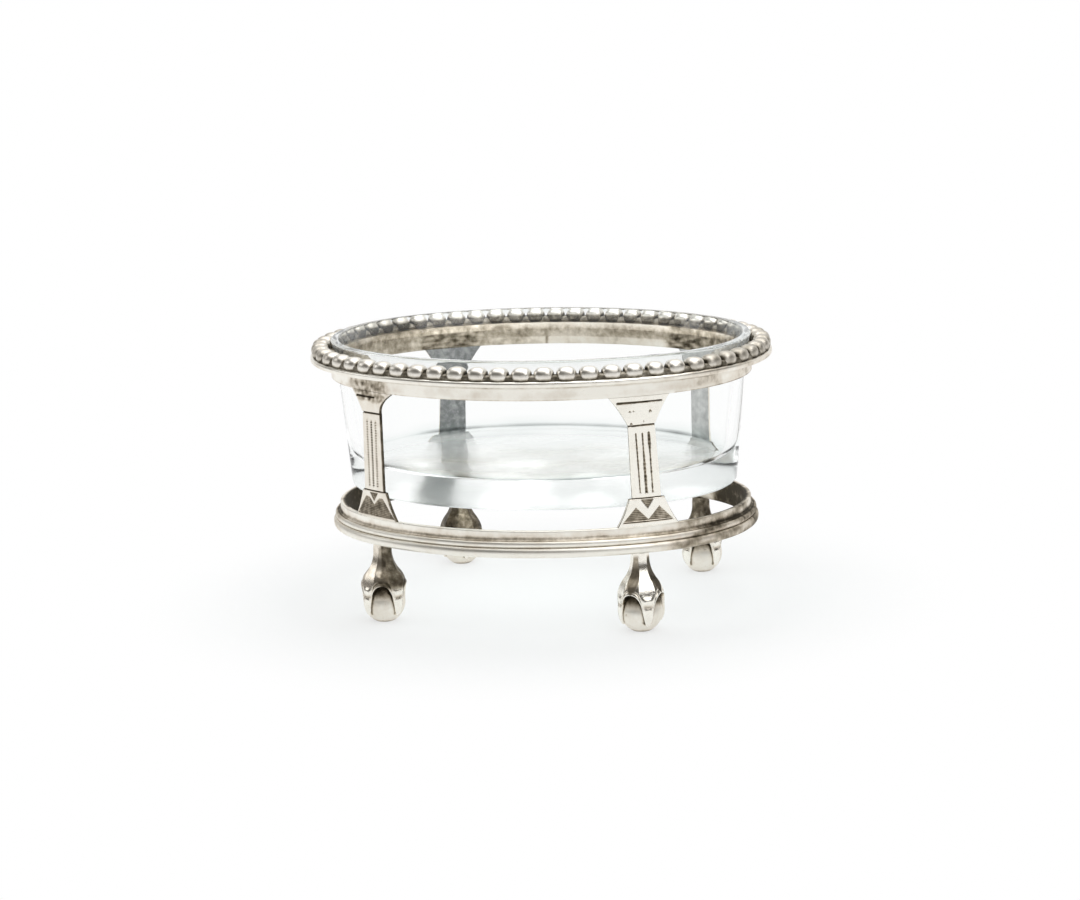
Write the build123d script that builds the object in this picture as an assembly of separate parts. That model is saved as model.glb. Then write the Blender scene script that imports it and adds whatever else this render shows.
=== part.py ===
"""Oval table salt: a silver frame of bands and pilasters on claw-and-ball feet, with a loose glass liner.

Millimetres, +Z up, origin on the table under the middle of the oval, +X along the oval's length.
Every outline is an offset of one four-centre oval, so each is named by its half-length alone.
"""
import os
from math import atan2, degrees, hypot, radians, sin, cos, sqrt, tan, asin

from build123d import *

# The oval's four arc centres
END_CENTRE_X = 10.5
SIDE_CENTRE_Y = 14.0

# Frame wall: half-lengths of its outer face at the upper and at the lower band
WALL_TOP_HALF_LENGTH = 37.4
WALL_FOOT_HALF_LENGTH = 36.8
WALL_THICKNESS = 0.9

# Heights, from the table up
FOOT_HEIGHT = 13.6
LOWER_BAND_HEIGHT = 4.5
WINDOW_HEIGHT = 22.4
UPPER_BAND_HEIGHT = 2.8
FLANGE_THICKNESS = 1.05
FLANGE_EDGE = 0.3

# Base moulding: two reeds, standing proud of the lower band
LOWER_REED_HEIGHT = 1.7
LOWER_REED_PROUD = 1.3
UPPER_REED_HEIGHT = 1.1
UPPER_REED_PROUD = 0.95

# Beads on the flange
BEAD_COUNT = 60
BEAD_DIAMETER = 3.1
BEAD_HEIGHT = 2.2
BEAD_TO_GLASS = 0.24
BEAD_TO_EDGE = 0.22
BEAD_STRIP_WIDTH = 2.4
BEAD_STRIP_THICKNESS = 0.9

# Glass liner; its taper comes on top of the frame wall's lean
LINER_CLEARANCE = 0.15
LINER_TAPER = 3.373
LINER_FLARE = 15.6
LINER_LIP_RISE = 2.85
LINER_BASE_GAP = 2.95
LINER_FLOOR = 4.5
LINER_LIP_WALL = 1.5
LINER_FOOT_WALL = 2.2
LINER_CORNER = 2.5
LINER_LIP_EDGE = 0.35
LINER_FOOT_EDGE = 0.8
LINER_BEND = 6.0

# Pilasters: turn of their outward normal from the oval's short axis, lean of their feet to the ends, outline
PILASTER_TURN = 33.2
PILASTER_LEAN = 2.8
SHAFT_TOP_WIDTH = 4.75
SHAFT_FOOT_WIDTH = 5.2
CAPITAL_WIDTH = 10.8
CAPITAL_HEIGHT = 5.0
CAPITAL_HOLLOW = 0.2
BASE_WIDTH = 11.2
BASE_TOP_WIDTH = 6.4
BASE_HEIGHT = 4.85
BASE_HOLLOW = 0.2

# Engraving on the pilasters
ENGRAVING_DEPTH = 0.15
ENGRAVED_LINE = 0.25
ABACUS_DROP = 0.95
BASE_LINE_RISE = 0.7
FLUTE_COUNT = 3
FLUTE_PITCH = 1.2
FLUTE_WIDTH = 0.4
FLUTE_TOP_MARGIN = 1.8
FLUTE_FOOT_MARGIN = 1.0
HANGING_DART_WIDTH = 2.3
HANGING_DART_HEIGHT = 1.6
STANDING_DART_WIDTH = 3.7
STANDING_DART_HEIGHT = 2.0
DART_GAP = 0.25

# Feet, turned from the oval's short axis as the pilasters are
FOOT_TURN = 32.3
FOOT_INSET = 0.7
BALL_DIAMETER = 7.3
BALL_FLAT_DIAMETER = 2.2
BALL_SOLDER_GAP = 0.02
NECK_DIAMETER = 3.1
NECK_LENGTH = 1.2
TALON_COUNT = 4
TALON_PROUD = 0.3
TALON_DROP = 2.2
SHOULDER_RISE = 1.4
FACET_DROP = 1.1
FACET_SINK = 0.12
FACET_RUNOUT = 0.2
ARCH_FOOT_WIDTH = 4.9
ARCH_SPRING_WIDTH = 3.9
ARCH_RISE = 2.5
ARCH_BOW = 0.35

# Room that a cutting tool passes beyond what it cuts
CUT_MARGIN = 2.0

# Levels
sill_z = FOOT_HEIGHT + LOWER_BAND_HEIGHT
head_z = sill_z + WINDOW_HEIGHT
flange_z = head_z + UPPER_BAND_HEIGHT
bead_z = flange_z + FLANGE_THICKNESS
lip_z = bead_z + LINER_LIP_RISE
liner_z = sill_z + LINER_BASE_GAP
floor_z = liner_z + LINER_FLOOR

# Half-lengths
flare_slope = tan(radians(LINER_FLARE))
wall_slope = (WALL_TOP_HALF_LENGTH - WALL_FOOT_HALF_LENGTH) / WINDOW_HEIGHT
taper_slope = max(wall_slope, 0) + tan(radians(LINER_TAPER))
seat_half_length = WALL_TOP_HALF_LENGTH - WALL_THICKNESS
liner_seat = seat_half_length - LINER_CLEARANCE
lip_half_length = liner_seat + (lip_z - flange_z) * flare_slope
bead_radius = BEAD_DIAMETER / 2
bead_half_length = lip_half_length + BEAD_TO_GLASS + bead_radius
rim_half_length = bead_half_length + bead_radius + BEAD_TO_EDGE
foot_half_length = WALL_FOOT_HALF_LENGTH - FOOT_INSET

# The oval's arcs: centre, half-length to radius, start angle and sweep
junction = degrees(atan2(SIDE_CENTRE_Y, END_CENTRE_X))
side_sweep = 180 - 2 * junction
end_shift = -END_CENTRE_X
side_shift = hypot(END_CENTRE_X, SIDE_CENTRE_Y) - END_CENTRE_X
OVAL_ARCS = (
    ((0, SIDE_CENTRE_Y), side_shift, 180 + junction, side_sweep),
    ((END_CENTRE_X, 0), end_shift, -junction, 2 * junction),
    ((0, -SIDE_CENTRE_Y), side_shift, junction, side_sweep),
    ((-END_CENTRE_X, 0), end_shift, 180 - junction, 2 * junction),
)


def oval(half_length):
    """Closed wire of the oval, from the front left junction round through +X."""
    arcs = []
    for centre, shift, start, sweep in OVAL_ARCS:
        arcs.append(CenterArc(centre, half_length + shift, start, sweep).edge())
    return Wire(arcs)


def plate(half_length, bottom, thickness):
    """Flat oval plate."""
    return Pos(0, 0, bottom) * extrude(make_face(oval(half_length)), thickness)


def ring(profile):
    """Carry a profile round the oval; it is drawn with x as the half-length and y as the height."""
    upright = Plane.XZ * profile
    pieces = []
    for centre, shift, start, sweep in OVAL_ARCS:
        section = Pos(*centre) * Rot(0, 0, start) * Pos(shift, 0, 0) * upright
        pieces.append(revolve(section, Axis(centre + (0,), (0, 0, 1)), sweep))
    return pieces[0] + pieces[1:]


def strip_profile(foot_outer, foot_height, top_outer, top_height, thickness):
    """Section of a wall strip, upright or leaning."""
    outline = Polyline(
        (foot_outer, foot_height),
        (top_outer, top_height),
        (top_outer - thickness, top_height),
        (foot_outer - thickness, foot_height),
        close=True,
    )
    return make_face(outline)


def on_oval(half_length, turn):
    """Point of the front right quarter whose outward normal is turned from the short axis."""
    normal = Vector(sin(radians(turn)), -cos(radians(turn)))
    if turn <= 90 - junction:
        return Vector(0, SIDE_CENTRE_Y) + normal * (half_length + side_shift)
    return Vector(END_CENTRE_X, 0) + normal * (half_length + end_shift)


def four_corners(solid, name):
    """The front right piece and its mirror images, named by corner."""
    rear = mirror(solid, about=Plane.XZ)
    return {
        name + "_front_right": solid,
        name + "_front_left": mirror(solid, about=Plane.YZ),
        name + "_rear_right": rear,
        name + "_rear_left": mirror(rear, about=Plane.YZ),
    }


def make_bands():
    """Upper and lower band, upright strips."""
    upper = strip_profile(WALL_TOP_HALF_LENGTH, head_z, WALL_TOP_HALF_LENGTH, flange_z, WALL_THICKNESS)
    lower = strip_profile(WALL_FOOT_HALF_LENGTH, FOOT_HEIGHT, WALL_FOOT_HALF_LENGTH, sill_z, WALL_THICKNESS)
    return {"upper_band": ring(upper), "lower_band": ring(lower)}


def make_flange():
    """Flat flange whose inner edge is the cone that the liner's flare sits in."""
    outline = FilletPolyline(
        (seat_half_length, flange_z),
        (rim_half_length, flange_z),
        (rim_half_length, bead_z),
        (seat_half_length + FLANGE_THICKNESS * flare_slope, bead_z),
        radius=(0, FLANGE_EDGE, FLANGE_EDGE, 0),
        close=True,
    )
    return ring(make_face(outline))


def make_bead_border():
    """Thin strip with a row of round beads, evenly spaced along the oval."""
    half_strip = BEAD_STRIP_WIDTH / 2
    strip_top = bead_z + BEAD_STRIP_THICKNESS
    strip_outer = bead_half_length + half_strip
    strip = ring(strip_profile(strip_outer, bead_z, strip_outer, strip_top, BEAD_STRIP_WIDTH))
    centre_rise = BEAD_HEIGHT - bead_radius
    cut_latitude = degrees(asin(centre_rise / bead_radius))
    bead = Sphere(bead_radius, arc_size1=-cut_latitude, align=None)
    line = oval(bead_half_length)
    spots = [line @ ((index + 0.5) / BEAD_COUNT) for index in range(BEAD_COUNT)]
    return strip + [Pos(spot.X, spot.Y, bead_z + centre_rise) * bead for spot in spots]


def make_moulding():
    """Reeded strip round the foot of the lower band."""
    wall = WALL_FOOT_HALF_LENGTH
    groove_z = FOOT_HEIGHT + LOWER_REED_HEIGHT
    top_z = groove_z + UPPER_REED_HEIGHT
    lower_x = wall + LOWER_REED_PROUD - LOWER_REED_HEIGHT / 2
    upper_x = wall + UPPER_REED_PROUD - UPPER_REED_HEIGHT / 2
    lower_crest = (wall + LOWER_REED_PROUD, FOOT_HEIGHT + LOWER_REED_HEIGHT / 2)
    upper_crest = (wall + UPPER_REED_PROUD, groove_z + UPPER_REED_HEIGHT / 2)
    outline = [
        Line((wall, FOOT_HEIGHT), (lower_x, FOOT_HEIGHT)),
        ThreePointArc((lower_x, FOOT_HEIGHT), lower_crest, (lower_x, groove_z)),
        Line((lower_x, groove_z), (upper_x, groove_z)),
        ThreePointArc((upper_x, groove_z), upper_crest, (upper_x, top_z)),
        Line((upper_x, top_z), (wall, top_z)),
        Line((wall, top_z), (wall, FOOT_HEIGHT)),
    ]
    return ring(make_face(outline))


def make_liner():
    """Glass bowl: tapered wall, flared lip that hangs in the flange, thick flat base."""
    foot_outer = liner_seat - (flange_z - liner_z) * taper_slope
    foot_inner = foot_outer + LINER_FLOOR * taper_slope - LINER_FOOT_WALL
    floor_edge = foot_inner - LINER_CORNER - LINER_FOOT_EDGE
    corners = (
        (floor_edge, liner_z),
        (foot_outer, liner_z),
        (liner_seat, flange_z),
        (lip_half_length, lip_z),
        (lip_half_length - LINER_LIP_WALL, lip_z),
        (liner_seat - LINER_LIP_WALL, flange_z),
        (foot_inner, floor_z),
        (floor_edge, floor_z),
    )
    rounding = (0, LINER_FOOT_EDGE, LINER_BEND, LINER_LIP_EDGE, LINER_LIP_EDGE, LINER_BEND, LINER_CORNER, 0)
    wall = ring(make_face(FilletPolyline(*corners, radius=rounding, close=True)))
    return wall + plate(floor_edge, liner_z, LINER_FLOOR)


def pilaster_outline():
    """Front view of a pilaster: flaring capital, shaft that widens downwards, spreading base.

    It runs on past both bands' edges, so that a leaning one still meets them all along.
    """
    shaft_top = head_z - CAPITAL_HEIGHT
    base_top = sill_z + BASE_HEIGHT
    capital_corner = (CAPITAL_WIDTH / 2, head_z)
    shaft_top_corner = (SHAFT_TOP_WIDTH / 2, shaft_top)
    shaft_foot_corner = (SHAFT_FOOT_WIDTH / 2, base_top)
    base_top_corner = (BASE_TOP_WIDTH / 2, base_top)
    base_corner = (BASE_WIDTH / 2, sill_z)
    capital_side = ((CAPITAL_WIDTH + SHAFT_TOP_WIDTH) / 4 - CAPITAL_HOLLOW, head_z - CAPITAL_HEIGHT / 2)
    base_side = ((BASE_WIDTH + BASE_TOP_WIDTH) / 4 - BASE_HOLLOW, sill_z + BASE_HEIGHT / 2)
    top_corner = (CAPITAL_WIDTH / 2, head_z + CUT_MARGIN)
    bottom_corner = (BASE_WIDTH / 2, sill_z - CUT_MARGIN)
    right = [
        Line((0, head_z + CUT_MARGIN), top_corner),
        Line(top_corner, capital_corner),
        ThreePointArc(capital_corner, capital_side, shaft_top_corner),
        Line(shaft_top_corner, shaft_foot_corner),
        Line(shaft_foot_corner, base_top_corner),
        ThreePointArc(base_top_corner, base_side, base_corner),
        Line(base_corner, bottom_corner),
        Line(bottom_corner, (0, sill_z - CUT_MARGIN)),
    ]
    left = [mirror(edge, about=Plane.YZ) for edge in right]
    return make_face(right + left)


def dart(middle, width, height):
    """Triangle on the middle of its level side; it hangs where the height is negative."""
    x, level = middle
    corners = ((x - width / 2, level), (x + width / 2, level), (x, level + height))
    return make_face(Polyline(*corners, close=True))


def engraving():
    """Front view of the engraved lines, flutes and darts of a pilaster."""
    shaft_top = head_z - CAPITAL_HEIGHT
    base_top = sill_z + BASE_HEIGHT
    line_levels = (head_z - ABACUS_DROP, shaft_top, base_top, sill_z + BASE_LINE_RISE)
    cuts = [Pos(0, level) * Rectangle(BASE_WIDTH + CUT_MARGIN, ENGRAVED_LINE) for level in line_levels]
    flute_top = shaft_top - FLUTE_TOP_MARGIN
    flute_foot = base_top + FLUTE_FOOT_MARGIN
    flute = SlotOverall(flute_top - flute_foot, FLUTE_WIDTH, rotation=90)
    for index in range(FLUTE_COUNT):
        flute_x = (index - (FLUTE_COUNT - 1) / 2) * FLUTE_PITCH
        cuts.append(Pos(flute_x, (flute_top + flute_foot) / 2) * flute)
    hanging_z = base_top - DART_GAP
    cuts.append(dart((0, hanging_z), HANGING_DART_WIDTH, -HANGING_DART_HEIGHT))
    standing_z = sill_z + BASE_LINE_RISE + DART_GAP
    standing_x = (STANDING_DART_WIDTH + DART_GAP) / 2
    for side in (-1, 1):
        cuts.append(dart((side * standing_x, standing_z), STANDING_DART_WIDTH, STANDING_DART_HEIGHT))
    return cuts


def make_pilaster():
    """Front right pilaster, cut from the leaning wall and engraved on its outer face."""
    foot = on_oval(WALL_FOOT_HALF_LENGTH, PILASTER_TURN)
    normal = Vector(sin(radians(PILASTER_TURN)), -cos(radians(PILASTER_TURN)))
    face_plane = Plane(foot, x_dir=(-normal.Y, normal.X), z_dir=normal)
    reach = abs(WALL_TOP_HALF_LENGTH - WALL_FOOT_HALF_LENGTH) + WALL_THICKNESS + CUT_MARGIN
    wall = ring(strip_profile(WALL_FOOT_HALF_LENGTH, sill_z, WALL_TOP_HALF_LENGTH, head_z, WALL_THICKNESS))
    skin_foot = WALL_FOOT_HALF_LENGTH + CUT_MARGIN
    skin_top = WALL_TOP_HALF_LENGTH + CUT_MARGIN
    skin = ring(strip_profile(skin_foot, sill_z, skin_top, head_z, ENGRAVING_DEPTH + CUT_MARGIN))
    middle_z = (sill_z + head_z) / 2
    lean = Pos(0, middle_z) * Rot(0, 0, PILASTER_LEAN) * Pos(0, -middle_z)
    blank = wall & extrude(face_plane * (lean * pilaster_outline()), reach, both=True)
    tools = [extrude(face_plane * (lean * cut), reach, both=True) & skin for cut in engraving()]
    return blank - tools


def make_foot():
    """Front right ball with its worn flat, and the ridged claw that holds it."""
    ball_radius = BALL_DIAMETER / 2
    ball_z = sqrt(ball_radius**2 - (BALL_FLAT_DIAMETER / 2) ** 2)
    flat_latitude = degrees(asin(ball_z / ball_radius))
    ball = Pos(0, 0, ball_z) * Sphere(ball_radius, arc_size1=-flat_latitude, align=None)

    neck = NECK_DIAMETER / 2
    talon = ball_radius + TALON_PROUD
    neck_foot = FOOT_HEIGHT - NECK_LENGTH
    shoulder_z = ball_z + SHOULDER_RISE
    middle = ((neck + talon) / 2, (neck_foot + shoulder_z) / 2)
    tip_z = ball_z - TALON_DROP
    tip = (sqrt(talon**2 - TALON_DROP**2), tip_z)
    outline = [
        Line((0, FOOT_HEIGHT), (neck, FOOT_HEIGHT)),
        Line((neck, FOOT_HEIGHT), (neck, neck_foot)),
        TangentArc((neck, neck_foot), middle, tangent=(0, -1)),
        TangentArc((talon, shoulder_z), middle, tangent=(0, 1)),
        Line((talon, shoulder_z), (talon, ball_z)),
        TangentArc((talon, ball_z), tip, tangent=(0, -1)),
        Line(tip, (0, tip_z)),
        Line((0, tip_z), (0, FOOT_HEIGHT)),
    ]
    bell = revolve(Plane.XZ * make_face(outline), Axis.Z)
    claw = bell - Pos(0, 0, ball_z) * Sphere(ball_radius + BALL_SOLDER_GAP)

    outside = talon + CUT_MARGIN
    facet_neck = neck - FACET_SINK
    facet_foot = talon + FACET_RUNOUT
    facet_top_z = neck_foot - FACET_DROP
    facet_foot_z = shoulder_z - FACET_DROP
    facet_middle = ((facet_neck + facet_foot) / 2, (facet_top_z + facet_foot_z) / 2)
    above = FOOT_HEIGHT + CUT_MARGIN
    facet = [
        Line((facet_neck, above), (facet_neck, facet_top_z)),
        TangentArc((facet_neck, facet_top_z), facet_middle, tangent=(0, -1)),
        TangentArc((facet_foot, facet_foot_z), facet_middle, tangent=(0, 1)),
        Line((facet_foot, facet_foot_z), (outside, facet_foot_z)),
        Line((outside, facet_foot_z), (outside, above)),
        Line((outside, above), (facet_neck, above)),
    ]
    hollow = extrude(Plane.XZ * make_face(facet), outside, both=True)

    apex = (0, ball_z + ARCH_RISE)
    below = tip_z - CUT_MARGIN
    arch = [Line((-ARCH_FOOT_WIDTH / 2, below), (ARCH_FOOT_WIDTH / 2, below))]
    for side in (-1, 1):
        low = (side * ARCH_FOOT_WIDTH / 2, below)
        spring = (side * ARCH_SPRING_WIDTH / 2, ball_z)
        bow = (side * (ARCH_SPRING_WIDTH / 4 + ARCH_BOW), ball_z + ARCH_RISE / 2 + ARCH_BOW)
        arch += [Line(low, spring), ThreePointArc(spring, bow, apex)]
    opening = extrude(Plane.YZ * make_face(arch), outside)
    step = 360 / TALON_COUNT
    for index in range(TALON_COUNT):
        between = Rot(0, 0, (index + 0.5) * step)
        claw = claw - [between * hollow, between * opening]

    spot = on_oval(foot_half_length, FOOT_TURN)
    place = Pos(spot.X, spot.Y, 0) * Rot(0, 0, FOOT_TURN)
    return place * claw, place * ball


nodes = make_bands()
nodes["rim_flange"] = make_flange()
nodes["bead_border"] = make_bead_border()
nodes["base_moulding"] = make_moulding()
nodes["glass_liner"] = make_liner()
nodes.update(four_corners(make_pilaster(), "pilaster"))
corner_claw, corner_ball = make_foot()
nodes.update(four_corners(corner_claw, "claw"))
nodes.update(four_corners(corner_ball, "ball"))

os.makedirs("parts", exist_ok=True)
for node_name, shape in nodes.items():
    export_step(shape, os.path.join("parts", node_name + ".step"))
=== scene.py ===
import math

import bmesh
import bpy
import numpy as np
from mathutils import Matrix, Vector, noise

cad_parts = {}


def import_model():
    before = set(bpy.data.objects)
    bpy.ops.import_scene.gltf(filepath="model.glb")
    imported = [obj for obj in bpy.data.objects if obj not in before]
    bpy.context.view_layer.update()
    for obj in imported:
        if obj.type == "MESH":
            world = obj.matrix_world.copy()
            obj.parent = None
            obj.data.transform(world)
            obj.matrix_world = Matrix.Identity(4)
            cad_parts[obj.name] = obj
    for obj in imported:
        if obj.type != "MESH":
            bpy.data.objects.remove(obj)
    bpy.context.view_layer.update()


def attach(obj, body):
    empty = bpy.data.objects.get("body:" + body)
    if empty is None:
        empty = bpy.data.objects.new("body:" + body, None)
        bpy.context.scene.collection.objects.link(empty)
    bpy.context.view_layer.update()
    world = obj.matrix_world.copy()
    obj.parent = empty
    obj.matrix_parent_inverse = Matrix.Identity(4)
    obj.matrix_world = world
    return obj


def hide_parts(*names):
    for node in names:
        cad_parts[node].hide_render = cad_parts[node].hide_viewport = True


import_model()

# Oval silver salt cellar on claw-and-ball feet, with a loose glass liner.
# Lengths below are in millimetres, and go into the meshes in metres.
# Every point of a piece carries a grime-and-shade value, from 0 for clean to 1 for black: tarnish and dirt, and also
# painted shade.
MM = 0.001
TAU = 2 * math.pi

# The four-centre oval that every outline is an offset of, the half-length along which rings are divided,
# and the stretch across that makes the oval nearly round
END_X = 10.5
SIDE_Y = 14.0
JUNCTION = math.atan2(SIDE_Y, END_X)
SIDE_SHIFT = math.hypot(END_X, SIDE_Y) - END_X
RING_LINE = 38.0
OVAL_STRETCH = 1.235

# Levels and half-lengths of the frame
FOOT_Z = 13.6
SILL_Z = 18.1
HEAD_Z = 40.5
FLANGE_Z = 43.3
BEAD_Z = 44.35
WALL_TOP = 37.4
WALL_FOOT = 36.8
WALL = 0.9
SEAT = WALL_TOP - WALL
SEAT_SLOPE = math.tan(math.radians(15.6))
RIM = 40.99
BEAD_LINE = 39.23
CORNERS = {"front_right": (1, 1), "front_left": (-1, 1), "rear_right": (1, -1), "rear_left": (-1, -1)}


def lerp(a, b, t):
    return a + (b - a) * t


def smooth(low, high, value):
    """Smooth step from 0 at low to 1 at high, in either direction."""
    t = min(max((value - low) / (high - low), 0.0), 1.0)
    return t * t * (3 - 2 * t)


def hump(value, middle, width):
    """Soft bump: 1 in its middle, falling off on both sides."""
    return math.exp(-(((value - middle) / width) ** 2))


def wave(x, y, z):
    """Smooth noise at a point, about -1 to 1."""
    return noise.noise(Vector((x, y, z)))


def arc_of(angle):
    """Centre and radius offset of the arc whose outward normal has this angle."""
    angle %= TAU
    if JUNCTION < angle < math.pi - JUNCTION:
        return 0.0, -SIDE_Y, SIDE_SHIFT
    if math.pi - JUNCTION <= angle <= math.pi + JUNCTION:
        return -END_X, 0.0, -END_X
    if math.pi + JUNCTION < angle < TAU - JUNCTION:
        return 0.0, SIDE_Y, SIDE_SHIFT
    return END_X, 0.0, -END_X


def oval_point(half_length, angle):
    cx, cy, shift = arc_of(angle)
    return cx + (half_length + shift) * math.cos(angle), cy + (half_length + shift) * math.sin(angle)


def ring_at(x, y):
    """Half-length, roughly, of the oval through a point."""
    return math.hypot(x, y * OVAL_STRETCH)


def stations(count, half_length, offset=0.0):
    """Normal angles spaced evenly along the oval, from the front left junction round through +X."""
    side, end = half_length + SIDE_SHIFT, half_length - END_X
    spans = [(side, math.pi - 2 * JUNCTION), (end, 2 * JUNCTION)] * 2
    total = sum(radius * sweep for radius, sweep in spans)
    found = []
    for index in range(count):
        travel = (index + offset) / count * total
        angle = math.pi + JUNCTION
        for radius, sweep in spans:
            if travel <= radius * sweep:
                break
            travel -= radius * sweep
            angle += sweep
        found.append(angle + travel / radius)
    return found


def rounded(corners, radii, steps=6):
    """Closed section with its corners rounded; each point keeps its corner's grime-and-shade value."""
    points = []
    for index, (x, y, grime_and_shade) in enumerate(corners):
        here = Vector((x, y))
        back = Vector(corners[index - 1][:2]) - here
        on = Vector(corners[(index + 1) % len(corners)][:2]) - here
        radius = radii[index]
        if radius <= 0:
            points.append((x, y, grime_and_shade))
            continue
        half = back.angle(on) / 2
        reach = radius / math.tan(half)
        start, end = here + back.normalized() * reach, here + on.normalized() * reach
        centre = here + (back.normalized() + on.normalized()).normalized() * (radius / math.sin(half))
        for step in range(steps + 1):
            spot = start.lerp(end, step / steps) - centre
            spot = centre + spot.normalized() * radius
            points.append((spot.x, spot.y, grime_and_shade))
    return points


def divided(section, longest):
    """Closed section whose long sides are split."""
    points = []
    for index, (x, y, grime_and_shade) in enumerate(section):
        nx, ny, next_grime_and_shade = section[(index + 1) % len(section)]
        pieces = max(1, math.ceil(math.hypot(nx - x, ny - y) / longest))
        for piece in range(pieces):
            t = piece / pieces
            points.append((lerp(x, nx, t), lerp(y, ny, t), lerp(grime_and_shade, next_grime_and_shade, t)))
    return points


def sweep(section, count, wander=None):
    """Closed section of half-length, height and grime-and-shade value, carried round the oval."""
    verts, grime_and_shade, faces = [], [], []
    size = len(section)
    for i, angle in enumerate(stations(count, RING_LINE)):
        for a, z, dirt_and_shade in section:
            da, dz = wander(angle, a, z) if wander else (0.0, 0.0)
            x, y = oval_point(a + da, angle)
            verts.append((x, y, z + dz))
            grime_and_shade.append(dirt_and_shade)
        for k in range(size):
            j, m = (i + 1) % count, (k + 1) % size
            faces.append((i * size + k, j * size + k, j * size + m, i * size + m))
    return verts, faces, grime_and_shade


def ring_faces(rings, count, capped=True):
    """Quads between successive rings of points, with a face across both ends where capped."""
    faces = []
    for start in range(0, (rings - 1) * count, count):
        for column in range(count):
            on = (column + 1) % count
            faces.append((start + column, start + on, start + count + on, start + count + column))
    if capped:
        faces += [tuple(range(count)), tuple(range((rings - 1) * count, rings * count))]
    return faces


def add_piece(name, verts, faces, grime_and_shade, material, body, nodes, sharp=45):
    """Mesh object with its grime-and-shade values, smooth but for edges sharper than an angle in degrees."""
    mesh = bpy.data.meshes.new(name)
    mesh.from_pydata([(x * MM, y * MM, z * MM) for x, y, z in verts], [], faces)
    mesh.attributes.new("grime_and_shade", "FLOAT", "POINT").data.foreach_set("value", np.array(grime_and_shade, np.float32))
    work = bmesh.new()
    work.from_mesh(mesh)
    bmesh.ops.recalc_face_normals(work, faces=work.faces)
    for face in work.faces:
        face.smooth = True
    for edge in work.edges:
        if len(edge.link_faces) == 2 and edge.calc_face_angle(0.0) > math.radians(sharp):
            edge.smooth = False
    work.to_mesh(mesh)
    work.free()
    piece = bpy.data.objects.new(name, mesh)
    bpy.context.scene.collection.objects.link(piece)
    mesh.materials.append(material)
    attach(piece, body)
    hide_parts(*nodes)
    return piece


class Nodes:
    """Short way to add and link shader nodes."""

    def __init__(self, tree):
        self.tree = tree
        tree.nodes.clear()

    def add(self, kind, settings=None, **inputs):
        node = self.tree.nodes.new(kind)
        for key, value in (settings or {}).items():
            setattr(node, key, value)
        for key, value in inputs.items():
            self.put(node, key.replace("_", " "), value)
        return node

    def put(self, node, key, value):
        socket = node.inputs[key]
        if isinstance(value, bpy.types.NodeSocket):
            self.tree.links.new(value, socket)
        else:
            socket.default_value = value

    def math(self, operation, a, b=0.0, clamp=False):
        node = self.add("ShaderNodeMath", {"operation": operation, "use_clamp": clamp})
        self.put(node, 0, a)
        self.put(node, 1, b)
        return node.outputs[0]

    def noise(self, coords, scale, detail=3.0, rough=0.55):
        node = self.add("ShaderNodeTexNoise", Vector=coords, Scale=scale, Detail=detail, Roughness=rough)
        return node.outputs["Fac"]

    def ranged(self, value, low, high, start=0.0, end=1.0):
        """Smooth step of a value, from start at low to end at high."""
        node = self.add("ShaderNodeMapRange", {"interpolation_type": "SMOOTHSTEP"}, Value=value)
        for key, limit in (("From Min", low), ("From Max", high), ("To Min", start), ("To Max", end)):
            self.put(node, key, limit)
        return node.outputs[0]

    def ramp(self, factor, stops):
        node = self.tree.nodes.new("ShaderNodeValToRGB")
        while len(node.color_ramp.elements) < len(stops):
            node.color_ramp.elements.new(1.0)
        for element, (place, colour) in zip(node.color_ramp.elements, stops):
            element.position, element.color = place, (*colour, 1.0)
        self.put(node, "Fac", factor)
        return node.outputs["Color"]

    def mix(self, share, first, second):
        """Shader between two others."""
        node = self.tree.nodes.new("ShaderNodeMixShader")
        for place, value in enumerate((share, first.outputs[0], second.outputs[0])):
            self.put(node, place, value)
        return node


def new_material(name):
    material = bpy.data.materials.new(name)
    material.use_nodes = True
    return material, Nodes(material.node_tree)


# Colours of the silver by its grime and painted shade, from bright to black
SILVER_STOPS = [
    (0.0, (0.96, 0.935, 0.86)),
    (0.28, (0.82, 0.755, 0.655)),
    (0.52, (0.47, 0.412, 0.325)),
    (0.76, (0.17, 0.144, 0.105)),
    (1.0, (0.055, 0.045, 0.03)),
]
BEAD_STOPS = [
    (0.0, (0.96, 0.94, 0.88)),
    (0.28, (0.80, 0.755, 0.68)),
    (0.52, (0.45, 0.415, 0.35)),
    (0.76, (0.17, 0.15, 0.115)),
    (1.0, (0.055, 0.047, 0.035)),
]
DULL_STOPS = [
    (0.0, (0.9, 0.9, 0.885)),
    (0.25, (0.56, 0.565, 0.56)),
    (0.5, (0.25, 0.258, 0.26)),
    (1.0, (0.06, 0.06, 0.06)),
]


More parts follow.
